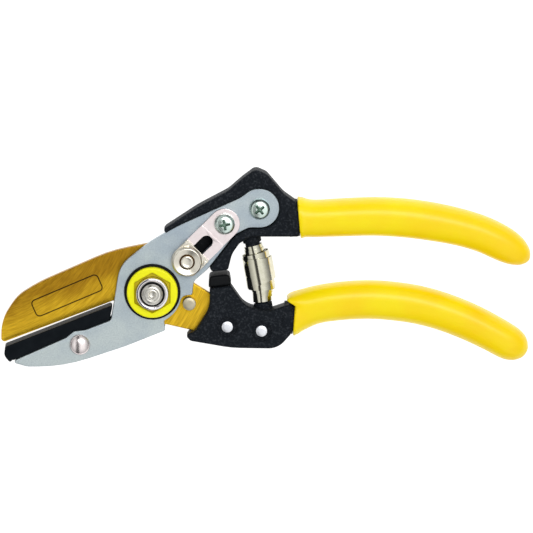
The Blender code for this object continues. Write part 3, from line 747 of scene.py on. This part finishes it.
def blade():
    """The blade's two faces are ground down to the edge in a long soft curve."""
    half = (BLADE_HIGH - BLADE_LOW) / 2
    holes = [round_hole(PIVOT, 5.6)]
    holes += [round_hole(middle(node), FASTENER_HOLE) for node in ("stop_pin", *HANDLE_RIVETS)]
    steel = slab(BLADE_OUTLINE, BLADE_LOW, BLADE_HIGH, 0.4, holes)
    notch = CATCH - Vector((1.1, 1.1))
    steel = carve(steel, bore(notch, 2.9))
    start, end = CUTTING_EDGE
    along = (end - start).normalized()
    inwards = Vector((-along.y, along.x))
    width, edge = 12.0, 0.12
    grind = [(-6.0, edge)]
    for step in range(13):
        share = step / 12
        grind.append((width * share, half - (half - edge) * (1 - share) ** 1.8))
    grind += [(width + 0.6, half + 0.02), (width + 3, half + 4), (-6.0, half + 4)]
    for side in (1, -1):
        tool = bmesh.new()
        ends = []
        for run in (-8.0, (end - start).length + 0.5):
            origin = start + along * run
            points = [(origin + inwards * depth, MID + side * height) for depth, height in grind]
            ends.append([tool.verts.new((point.x, point.y, height)) for point, height in points])
        bridge(tool, *ends)
        tool.faces.new(ends[0])
        tool.faces.new(ends[1])
        steel = carve(steel, tool)
    piece(steel, "blade", GOLD, crease=50)


# ---------------- castings and grips


def blended(before, first, second, after, share):
    """Catmull-Rom curve between first and second."""
    return 0.5 * (
        2 * first
        + (second - before) * share
        + (2 * before - 5 * first + 4 * second - after) * share**2
        + (3 * first - before - 3 * second + after) * share**3
    )


def smooth_stations(stations, steps=7):
    """Many stations on a smooth curve. Widths blend by their squares, so the tip is round."""
    rows = [(x, y, width**2, thickness**2, heading) for x, y, width, thickness, heading in stations]
    made = []
    for index in range(len(rows) - 1):
        four = [rows[max(0, index - 1)], rows[index], rows[index + 1], rows[min(len(rows) - 1, index + 2)]]
        for step in range(steps):
            x, y, width, thickness, heading = (blended(*values, step / steps) for values in zip(*four))
            made.append((x, y, math.sqrt(max(0.0, width)), math.sqrt(max(0.0, thickness)), heading))
    return made


def squared(value):
    """A sine or cosine, swelled to take a circle's point out to the superellipse."""
    return math.copysign(abs(value) ** (2 / SQUARENESS), value)


def section(station, inset, sides):
    """Points of a grip's section, a superellipse across its heading."""
    x, y, width, thickness, heading = station
    across = toward(math.radians(heading + 90)).to_3d()
    points = []
    for side in range(sides):
        turn = 2 * math.pi * (side + 0.5) / sides
        sideways = squared(math.cos(turn)) * (width - inset)
        upwards = squared(math.sin(turn)) * (thickness - inset)
        points.append(Vector((x, y, MID)) + across * sideways + Vector((0, 0, upwards)))
    return points


def shifted(station, distance):
    """A station moved along its heading."""
    x, y, width, thickness, heading = station
    run = toward(math.radians(heading)) * distance
    return (x + run.x, y + run.y, width, thickness, heading)


def eased(value, low, high):
    """How far a value is from low to high, from 0 to 1 with a soft start and end."""
    share = min(1.0, max(0.0, (value - low) / (high - low)))
    return share * share * (3 - 2 * share)


def drawn_out(rings, mouth, reach):
    """Rings near a grip's mouth with the top of the mouth drawn out into a tongue.

    The tongue starts at shoulder, of the mouth's half height, is whole at its top and is gone at crown.
    """
    x, y, half = mouth[:3]
    shoulder, crown, length = 0.8, 1.7, 6.0
    made = []
    for points in rings:
        moved = []
        for point in points:
            height = (point.y - y) / half
            share = eased(height, shoulder, 1.0) * (1 - eased(height, 1.0, crown))
            moved.append(point + reach * share * (1 - eased(point.x - x, 0.0, length)))
        made.append(moved)
    return made


def grip(node, stations, reach):
    """A dipped sleeve with a rolled mouth: the blind bore, the lip, then the outer skin out to its tip."""
    sides, lip, bead = 72, 0.7, 0.22
    fine = smooth_stations(stations)
    mouth = Vector(fine[0][:2])
    blind = [section(station, GRIP_WALL, sides) for station in reversed(fine[3:-24:3])]
    rolled = []
    for step in range(9):
        turn = math.pi * step / 8
        inset = GRIP_WALL / 2 * (1 + math.cos(turn))
        rolled.append(section(shifted(fine[0], lip * (1 - math.sin(turn))), inset, sides))
    skin = []
    for station in fine[1:]:
        inside = (Vector(station[:2]) - mouth).length
        swell = bead * math.exp(-(((inside - 1.4) / 1.1) ** 2))
        skin.append(section(station, -swell, sides))
    tip = Vector((*stations[-1][:2], MID))
    rings = drawn_out([*blind, *rolled, *skin], fine[0], reach)
    piece(loft([*rings, [tip]]), node, VINYL, crease=60, flat_faces=False)


def handle_core(stations, reach):
    """The end of a casting: a collar that meets the grip's mouth, and the bar that fills the grip."""
    fine = smooth_stations(stations, 4)
    collar = [(-4.0, COLLAR_INSET), (-0.35, COLLAR_INSET), (-0.12, COLLAR_INSET + 0.2), (-0.12, CORE_INSET)]
    start, *rings = [section(shifted(fine[0], distance), inset, 64) for distance, inset in collar]
    rings += [section(station, CORE_INSET, 64) for station in fine[1:-17]]
    return loft([start, *drawn_out(rings, fine[0], reach)])


def stood_along(mesh_data, foot, top, place):
    """Turns an upright mesh to stand along the line from foot to top, and moves it to a place."""
    run = Vector((*(top - foot), 0)).to_track_quat("Z", "Y").to_matrix().to_4x4()
    bmesh.ops.transform(mesh_data, matrix=Matrix.Translation((*place, MID)) @ run, verts=mesh_data.verts)


def spring_seat(depth, foot, top):
    """A boss with a stud, along the line from foot to top."""
    boss, stud, stud_length, gap = 3.5, 2.8, 2.5, 0.3
    profile = [(0, -depth), (boss, -depth), (boss, -gap, 0.4), (stud, -gap), (stud, stud_length, 0.5)]
    mesh_data = turned(softened([*profile, (0, stud_length)]), sides=48)
    stood_along(mesh_data, foot, top, foot)
    return mesh_data


def cast_block(corners):
    """A block with soft front edges whose rear half draws in, as it left its mould."""
    edges = rim(CASTING_LOW, CASTING_HIGH, 1.2)
    front = edges[len(edges) // 2 :]
    rear = [(CASTING_LOW, 1.3), (CASTING_LOW + 0.25, 0.95), (CASTING_LOW + 0.9, 0.6), (MID, 0.0)]
    return prism(corners, rear + front)


def upper_casting():
    """The upper handle's body: a web between the jaw plates, the spring's boss and the grip's core."""
    body = cast_block(UPPER_CASTING_OUTLINE)
    body = carve(body, plate_pocket(MID + WEB, CASTING_HIGH, flare=1))
    body = carve(body, plate_pocket(CASTING_LOW, MID - WEB, flare=-1))
    body = carve(body, handle_core(UPPER_GRIP, NO_REACH), "UNION")
    body = carve(body, spring_seat(5.0, SPRING_TOP, SPRING_FOOT), "UNION")
    for centre in (GUIDE_SCREW, HANDLE_SCREW):
        body = carve(body, bore(centre, FASTENER_HOLE))
    piece(body, "upper_handle_casting", CASTING_BLACK)


def rivet_seat(centre):
    """Cutter for a rivet's hole with a stepped recess at both faces."""
    depth, wide, step, hole = 0.9, 4.0, 3.3, 2.3
    half = CASTING_HIGH - MID
    face = [(hole, half - depth - 0.5), (step, half - depth - 0.5), (step, half - depth, 0.15)]
    face += [(wide, half - depth), (wide, half + 1)]
    profile = softened([(0, -half - 1), *mirrored(face), *face, (0, half + 1)])
    return turned([(radius, MID + height) for radius, height in profile], centre, 64)


def lower_casting():
    """The lower handle's body: a slot for the tang, the rivets' seats, the spring's boss and a post."""
    body = cast_block(LOWER_CASTING_OUTLINE)
    body = carve(body, handle_core(LOWER_GRIP, LIP_REACH), "UNION")
    body = carve(body, spring_seat(4.5, SPRING_FOOT, SPRING_TOP), "UNION")
    room, side_room = 0.15, 0.25
    tang = prism(BLADE_OUTLINE, [(BLADE_LOW - room, -side_room), (BLADE_HIGH + room, -side_room)])
    body = carve(body, tang)
    for node in HANDLE_RIVETS:
        body = carve(body, rivet_seat(middle(node)))
    post = [(23.2, 0.0, 0.5), (28.0, 0.0, 0.5), (27.6, 4.2, 0.5), (23.4, 3.8, 0.5)]
    body = carve(body, slab(post, MID - 3.6, MID + 3.6, 0.2), "UNION")
    piece(body, "lower_handle_casting", CASTING_BLACK)


def stop_buffer():
    """A rubber cap over the casting's post."""
    low, high = span("stop_buffer", 2)
    pocket = [(22.9, -1.0, 0.5), (28.3, -1.0, 0.5), (27.9, 4.5, 0.5), (23.1, 4.1, 0.5)]
    cap = carve(slab(BUFFER_OUTLINE, low, high, 0.9), slab(pocket, MID - 3.9, MID + 3.9, 0.2))
    piece(cap, "stop_buffer", RUBBER)


# ---------------- fasteners


def dome(low, height, radius, steps=14):
    """Profile of a domed head from its rim to its crown."""
    turns = [math.pi / 2 * step / steps for step in range(steps)]
    return [(radius * math.cos(turn), low + height * math.sin(turn)) for turn in turns] + [(0, low + height)]


def anvil_rivet():
    """A rivet with a dome at each end, the rear one flatter."""
    low, high = span("anvil_rivet", 2)
    front_seat, rear_seat = PLATE_HIGH + 0.1, REAR_LOW - 0.1
    front = dome(front_seat, high - front_seat, breadth("anvil_rivet") / 2)
    rear = [(r, max(low, rear_seat - (h - front_seat) * 0.87)) for r, h in reversed(front)]
    shank = [(2.0, rear_seat), (2.0, front_seat)]
    piece(turned([*rear, *shank, *front], ANVIL_RIVET), "anvil_rivet", BRIGHT)


def peened_rivets():
    """The flat rivets of the lower handle and the stop pin: slightly domed ends with a broken edge."""
    ends = {
        "handle_rivet_jaw_side": (2.15, 2.15),
        "handle_rivet_grip_side": (2.15, 2.15),
        "stop_pin": (2.45, 2.0),
    }
    for node, (head, shank) in ends.items():
        low, high = span(node, 2)
        half = (high - low) / 2
        collar = BLADE_HIGH - MID + 0.12
        upper = [(shank, collar), (head, collar), (head, half - 0.25, 0.2), (head * 0.6, half - 0.02, 1.5)]
        profile = softened([(0, -half), *mirrored(upper), *upper, (0, half)])
        look = WHITE_RIVET if node in HANDLE_RIVETS else PIN_STEEL
        piece(turned([(r, MID + h) for r, h in profile], middle(node), 64), node, look)


def pivot_group():
    """Bolt, washer, lock nut with its nylon insert, and the yellow ring that turns the nut."""
    low, high = span("pivot_bolt", 2)
    head = REAR_LOW - 0.1
    bolt = [(0, low), (8.0, low, 0.7), (8.0, head, 0.3), (4.0, head), (4.0, high - 0.9, 0.5)]
    bolt += [(3.1, high - 0.15, 0.5), (2.5, high - 0.05, 0.25), (2.1, high - 0.35, 0.25)]
    bolt += [(1.6, high - 0.1, 0.2), (0.9, high - 0.8, 0.5), (0, high - 0.95)]
    piece(turned(softened(bolt)), "pivot_bolt", BOLT_STEEL)

    low, high = span("ring_washer", 2)
    washer = [(BOLT_HOLE, low), (10.7, low, 0.2), (10.7, high, 0.25), (BOLT_HOLE, high)]
    piece(turned(softened(washer), PIVOT), "ring_washer", NYLON)

    low, high = span("pivot_nut", 2)
    floor_high = low + 1.15
    corners = ring(PIVOT, breadth("pivot_nut") / math.sqrt(3), 6, math.pi / 2)
    nut = slab([(*corner, 0.25) for corner in corners], low, high, 0.15)
    collar = [(9, low - 1), (9, low + 0.7), (6.4, floor_high - 0.15, 0.3), (6.1, floor_high + 0.1, 0.2)]
    collar += [(6.1, high - 0.1, 0.35), (5.3, high, 0.5), (4.72, high - 0.3, 0.15), (4.72, high - 2.2)]
    collar += [(BOLT_HOLE, high - 2.2), (BOLT_HOLE, low - 2), (9, low - 2)]
    piece(carve(nut, turned(softened([*collar, collar[0]])), "INTERSECT"), "pivot_nut", CHROME)

    low, high = span("nut_insert", 2)
    insert = [(BOLT_HOLE, low), (4.7, low), (4.7, high, 0.15), (BOLT_HOLE, high, 0.15), (BOLT_HOLE, low)]
    piece(turned(softened(insert)), "nut_insert", NYLON)

    low, high = span("nut_locking_ring", 2)
    flange = [(9.65, low + 0.3, 0.2), (9.65, high, 0.7), (6.25, high), (6.25, low), (9.65, low)]
    cap = turned(softened([(9.65, low), *flange]))
    recess = [(*corner, 0.5) for corner in ring(PIVOT, 13.5 / math.sqrt(3), 6, math.pi / 2)]
    under = [(low - 1, 0), (floor_high, 0)]
    over = [(floor_high + 0.3, 0.15), (high - 0.3, 0), (high + 0.1, -0.3), (high + 1, -0.3)]
    for levels in (under, over):
        cap = carve(cap, prism(recess, levels))
    # The faces low in the hex recess take the painted shade.
    piece(
        cap,
        "nut_locking_ring",
        LEMON,
        other_look=PAINTED_SHADE_YELLOW,
        other_faces=lambda face: (face.xy - PIVOT).length < 7.9 and face.z < high - 0.32,
    )


def pan_screw(node, centre, lean):
    """A pan head with a tapered cross recess, dark with painted shade."""
    low, high = span(node, 2)
    seat = high - 2.55
    shank, head_radius = 2.0, 3.9
    profile = [(0, low), (shank, low, 0.3), (shank, seat), (head_radius, seat, 0.15)]
    profile += [(head_radius, seat + 1.1, 0.6), (3.1, seat + 2.25, 1.0), (1.5, high, 1.5), (0, high)]
    head = turned(softened(profile), centre)
    cross = []
    for quarter in range(4):
        turn = Matrix.Rotation(lean + math.pi / 2 * quarter, 2)
        for x, y, radius in ((0.52, 0.52, 0.25), (0.52, 2.15, 0.3), (-0.52, 2.15, 0.3)):
            cross.append((*(centre + turn @ Vector((x, y))), radius))
    levels = [(seat + 0.9, 0.3), (seat + 1.6, 0.2), (high + 0.4, -0.05)]
    head = carve(head, prism(cross, levels))
    # The faces deep in the cross recess take the painted shade.
    piece(
        head,
        node,
        ZINC,
        other_look=ZINC_PAINTED_SHADE,
        other_faces=lambda face: (face.xy - centre).length < 2.2 and seat + 0.5 < face.z < seat + 2.3,
    )


def thin_nut(node):
    """A hexagonal nut on the rear side of a screw."""
    low, high = span(node, 2)
    centre = middle(node)
    hexagon = [(*corner, 0.3) for corner in ring(centre, 7.0 / math.sqrt(3), 6)]
    piece(slab(hexagon, low, high, 0.3, [round_hole(centre, 2.1)]), node, ZINC)


def screws():
    """The two pan screws and the thin nuts behind them."""
    pan_screw("guide_screw", GUIDE_SCREW, math.radians(10))
    pan_screw("handle_screw", HANDLE_SCREW, math.radians(38))
    thin_nut("guide_screw_nut")
    thin_nut("handle_screw_nut")


# ---------------- catch


def joined(first, second):
    """One mesh that holds both."""
    mesh = bpy.data.meshes.new("joined")
    cleaned(second).to_mesh(mesh)
    second.free()
    first.from_mesh(mesh)
    bpy.data.meshes.remove(mesh)
    return first


def capsule_corners(run, square_end=False):
    """Corners of a strip round a line from the origin along X."""
    half = 5.8
    end = 0.8 if square_end else half - 0.01
    reach = run if square_end else run + half
    return [(-half, -half, half - 0.01), (reach, -half, end), (reach, half, end), (-half, half, half - 0.01)]


def catch_guide():
    """A capsule-shaped plate whose slotted stretch stands a little above its screwed end."""
    low, high = span("catch_guide_plate", 2)
    step = 0.14  # from the screwed end up to the slotted stretch
    slot = slot_hole(along_slide(-0.4), along_slide(TRAVEL + 2.4), 2.35)
    run = (GUIDE_SCREW - CATCH).length
    whole = placed(capsule_corners(run), CATCH, SLIDE_HEADING)
    base = slab(whole, low, high - step, 0.25, [slot, round_hole(GUIDE_SCREW, FASTENER_HOLE)])
    raised = placed(capsule_corners(run - 6.2, square_end=True), CATCH, SLIDE_HEADING)
    edge = [(high - step - 0.05, 0.0), (high - 0.07, 0.01), (high - 0.02, 0.04), (high, 0.12)]
    piece(joined(cleaned(base), prism(raised, edge, [slot])), "catch_guide_plate", NICKEL)


def grime_and_painted_shade(place, height):
    """Whether a spot of the thumb piece is in the groove round its rivet, which takes brown grime and
    painted shade, or low on the cup by the slot, which takes a painted shadow.
    """
    in_groove = place.length < 2.82 and height > 0
    by_slot = place.dot(SLIDE) > 4.4 and place.length < 5.75 and 0.05 < height < 1.7
    return in_groove or by_slot


def catch():
    """A thumb piece: a foot with a straight edge and two small ears, and a pressed cup round the rivet."""
    low, high = span("catch_thumb_piece", 2)
    foot_high = low + 0.7
    half = 5.9
    corners = [(-half, -half, half - 0.2), (half, -half, 0.5), (half, half, 0.5), (-half, half, half - 0.2)]
    foot = slab(placed(corners, CATCH, SLIDE_HEADING), low, foot_high, 0.18)
    for side in (1, -1):
        ear = [(x, side * y, 0.4) for x, y in ((2.9, 4.9), (4.7, 4.4), (5.3, 5.75), (3.2, 5.85))]
        foot = carve(foot, slab(placed(ear, CATCH, SLIDE_HEADING), low + 0.1, foot_high + 0.5, 0.2), "UNION")
    cup = [(0, low + 0.1), (5.55, low + 0.1), (5.65, high - 0.9, 0.6)]
    cup += [(5.1, high, 0.5), (4.5, high - 0.2, 0.6), (2.95, high - 0.75, 0.15), (2.8, high - 1.2)]
    cup += [(0, high - 1.2)]
    foot = carve(foot, turned(softened(cup), CATCH), "UNION")
    foot = carve(foot, bore(CATCH, 2.2))
    # Grime and painted shade in the groove round the rivet, and a painted shadow low on the cup by the slot.
    piece(
        foot,
        "catch_thumb_piece",
        CATCH_NICKEL,
        other_look=BROWN_GRIME_AND_PAINTED_SHADE,
        other_faces=lambda face: grime_and_painted_shade(face.xy - CATCH, face.z - foot_high),
    )

    low, high = span("catch_rivet", 2)
    head = high - 1.2
    profile = [(0, low), (3.1, low, 0.1), (3.1, low + 0.4, 0.1), (2.05, low + 0.4)]
    profile += [(2.05, head), (2.35, head), (2.35, high - 0.5, 0.3), (1.9, high - 0.3, 0.4)]
    profile += [(1.2, high - 0.5, 0.8), (0, high - 0.55)]
    piece(turned(softened(profile), CATCH), "catch_rivet", CATCH_NICKEL)


# ---------------- spring

# Turns of the volute from its top end to its foot. Each passes the left side, then the front, then the
# right side: (radius, depth of its upper edge, depth of its lower edge) on the left and on the right.
VOLUTE = [
    ((3.45, 1.0, 5.0), (3.45, 0.5, 5.5)),
    ((3.72, 2.4, 7.0), (3.72, 1.9, 8.0)),
    ((4.00, 3.7, 9.0), (4.07, 3.5, 9.4)),
    ((4.50, 4.9, 9.6), (4.60, 4.6, 9.8)),
    ((5.02, 4.2, 10.2), (5.20, 3.3, 10.2)),
    ((5.27, 5.1, 16.9), (5.85, 6.0, 14.2)),
    ((5.00, 10.5, 17.2), (5.25, 10.5, 18.5)),
    ((4.45, 11.5, 16.6), (4.55, 12.0, 17.8)),
    ((4.05, 12.5, 16.8), (4.20, 13.5, 19.8)),
    ((3.72, 14.0, 18.2), (3.88, 15.5, 21.2)),
    ((3.45, 16.5, 22.4), (3.50, 17.5, 22.7)),
]
STRIP = 0.22  # thickness of the sheet
HALF_TURN_STEPS = 22  # sides of the spring's strip in each half turn
BOW = 0.7  # how far the middle of the spring stands out towards the grips


def volute_spring():
    """A sheet strip wound into telescoping turns; each turn's share of the opening grows down the spring."""
    mesh_data = bmesh.new()
    halves = [side for turn in VOLUTE for side in turn]
    count = (len(halves) - 1) * HALF_TURN_STEPS
    rows = []
    for step in range(count + 1):
        index = min(len(halves) - 2, step // HALF_TURN_STEPS)
        blend = step / HALF_TURN_STEPS - index
        easy = (1 - math.cos(math.pi * blend)) / 2
        radius, top, bottom = (a + (b - a) * easy for a, b in zip(halves[index], halves[index + 1]))
        angle = math.pi * step / HALF_TURN_STEPS
        row = []
        for depth, out in ((top, 0.0), (top, STRIP), (bottom, STRIP), (bottom, 0.0)):
            reach = radius + out - STRIP / 2
            bow = BOW * math.sin(math.pi * depth / (SPRING_TOP - SPRING_FOOT).length)
            row.append(mesh_data.verts.new((reach * math.cos(angle) - bow, reach * math.sin(angle), -depth)))
        rows.append(row)
    for near, far in zip(rows, rows[1:]):
        bridge(mesh_data, near, far)
    mesh_data.faces.new(rows[0])
    mesh_data.faces.new(rows[-1])
    stood_along(mesh_data, SPRING_FOOT, SPRING_TOP, SPRING_TOP)
    made = shown(mesh_data, "volute_spring_finished", SPRING_NICKEL, crease=40, flat_faces=False)
    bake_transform(made)
    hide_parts("volute_spring")


# ---------------- studio


def kept_nodes():
    """The hidden washers and the bushing keep their own shapes."""
    for node in ("front_friction_washer", "rear_friction_washer", "pivot_bushing"):
        mesh = frame["nodes"][node].data
        mesh.materials.clear()
        mesh.materials.append(BRONZE)


def floor():
    mesh_data = bmesh.new()
    size = 20000
    corners = [(-size, -size), (size, -size), (size, size), (-size, size)]
    mesh_data.faces.new([mesh_data.verts.new((x, y, 0)) for x, y in corners])
    white = Finish("floor_white", 0.0, 0.9).set(Base_Color=(0.35, 0.35, 0.35, 1.0), Specular_IOR_Level=0.0)
    white.set(Emission_Color=(1, 1, 1, 1), Emission_Strength=0.95)
    shown(mesh_data, "floor", white.material, flat_faces=False)


def sky():
    """A bright dome that darkens towards the horizon, with a dark strip that metal mirrors as a streak."""
    world = bpy.data.worlds.new("studio")
    bpy.context.scene.world = world
    world.use_nodes = True
    made = Shading(world.node_tree)
    place = made.node("ShaderNodeTexCoord", {}).outputs["Generated"]
    separate = made.node("ShaderNodeSeparateXYZ", {0: place})
    dark_strip = [(0.32, 0.06), (0.455, 0.06)]
    across = [(0.0, 0.1), (0.05, 0.8), (0.25, 1.0), *dark_strip, (0.48, 1.0), (0.75, 1.0), (1.0, 0.55)]
    upwards = [(0.0, 0.34), (0.9, 1.12)]
    from_left = made.maths("MULTIPLY_ADD", separate.outputs["X"], 0.5, 0.5)
    shades = []
    for factor, stops in ((separate.outputs["Z"], upwards), (from_left, across)):
        greys = [(position, (shade, shade, shade, 1)) for position, shade in stops]
        shades.append(made.graded(factor, greys))
    made.links.new(made.mix(1.0, *shades, "MULTIPLY"), made.nodes["Background"].inputs["Color"])


def softbox(name, place, size, power):
    """An area light aimed at the middle of the tool."""
    light = bpy.data.lights.new(name, "AREA")
    light.shape = "RECTANGLE"
    light.size, light.size_y = size
    light.energy = power
    made = bpy.data.objects.new(name, light)
    made.location = place
    aim = Vector((0.045, 0.01, 0.01)) - Vector(place)
    made.rotation_euler = aim.to_track_quat("-Z", "Y").to_euler()
    made.visible_camera = False
    bpy.context.scene.collection.objects.link(made)


def camera():
    """Nearly overhead, tilted ten degrees towards the upper handle, and far off, so it barely converges."""
    tilt = math.radians(10)
    view_width = 0.2019
    distance = 5.0
    target = Vector((0.04326, 0.00965, PLATE_HIGH * MM))
    lens = bpy.data.cameras.new("camera")
    lens.sensor_width = 36.0
    lens.lens = lens.sensor_width * distance / view_width
    lens.clip_start, lens.clip_end = 0.1, 100.0
    made = bpy.data.objects.new("camera", lens)
    made.location = target + Vector((0, math.sin(tilt), math.cos(tilt))) * distance
    made.rotation_euler = (-tilt, 0, 0)
    bpy.context.scene.collection.objects.link(made)
    bpy.context.scene.camera = made


jaw_plates()
anvil()
blade()
upper_casting()
lower_casting()
stop_buffer()
grip("upper_grip", UPPER_GRIP, NO_REACH)
grip("lower_grip", LOWER_GRIP, LIP_REACH)
anvil_rivet()
peened_rivets()
pivot_group()
screws()
catch_guide()
catch()
volute_spring()
kept_nodes()

floor()
sky()
softbox("key", (0.2, 0.55, 1.3), (0.9, 0.5), 7.4)
camera()
bpy.context.scene.view_settings.view_transform = "Standard"
